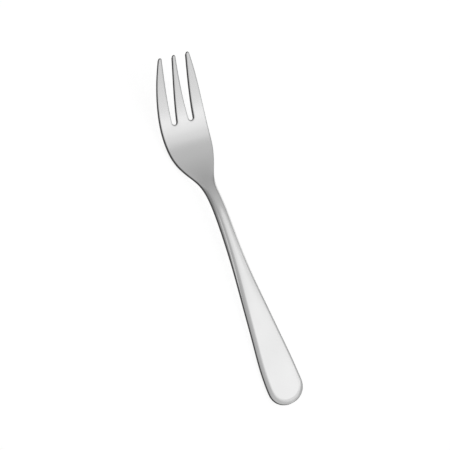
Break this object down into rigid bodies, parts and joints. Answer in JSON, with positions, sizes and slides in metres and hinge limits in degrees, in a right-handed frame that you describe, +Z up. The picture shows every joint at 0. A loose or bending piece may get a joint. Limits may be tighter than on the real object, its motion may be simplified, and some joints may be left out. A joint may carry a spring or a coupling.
{
  "type": "pastry fork",
  "caption": "Small fork for cakes and pastries, with a slim waisted neck, a flared round-ended handle and a dished head whose tines curve up to narrow tips.",
  "frame": {"origin": "on the table, under the middle of the fork's length and width as it lies with its tines up", "axes": "+Y along the fork from the handle's end to the tips of the tines, +Z up from the table, +X across it to the right"},
  "size_m": [0.0216, 0.1448, 0.0155],
  "materials": {
    "polished_steel": "polished stainless steel, softly satin, with tumbled edges"
  },
  "bodies": {
    "root": {"pastry_fork": "polished_steel"}
  },
  "joints": []
}
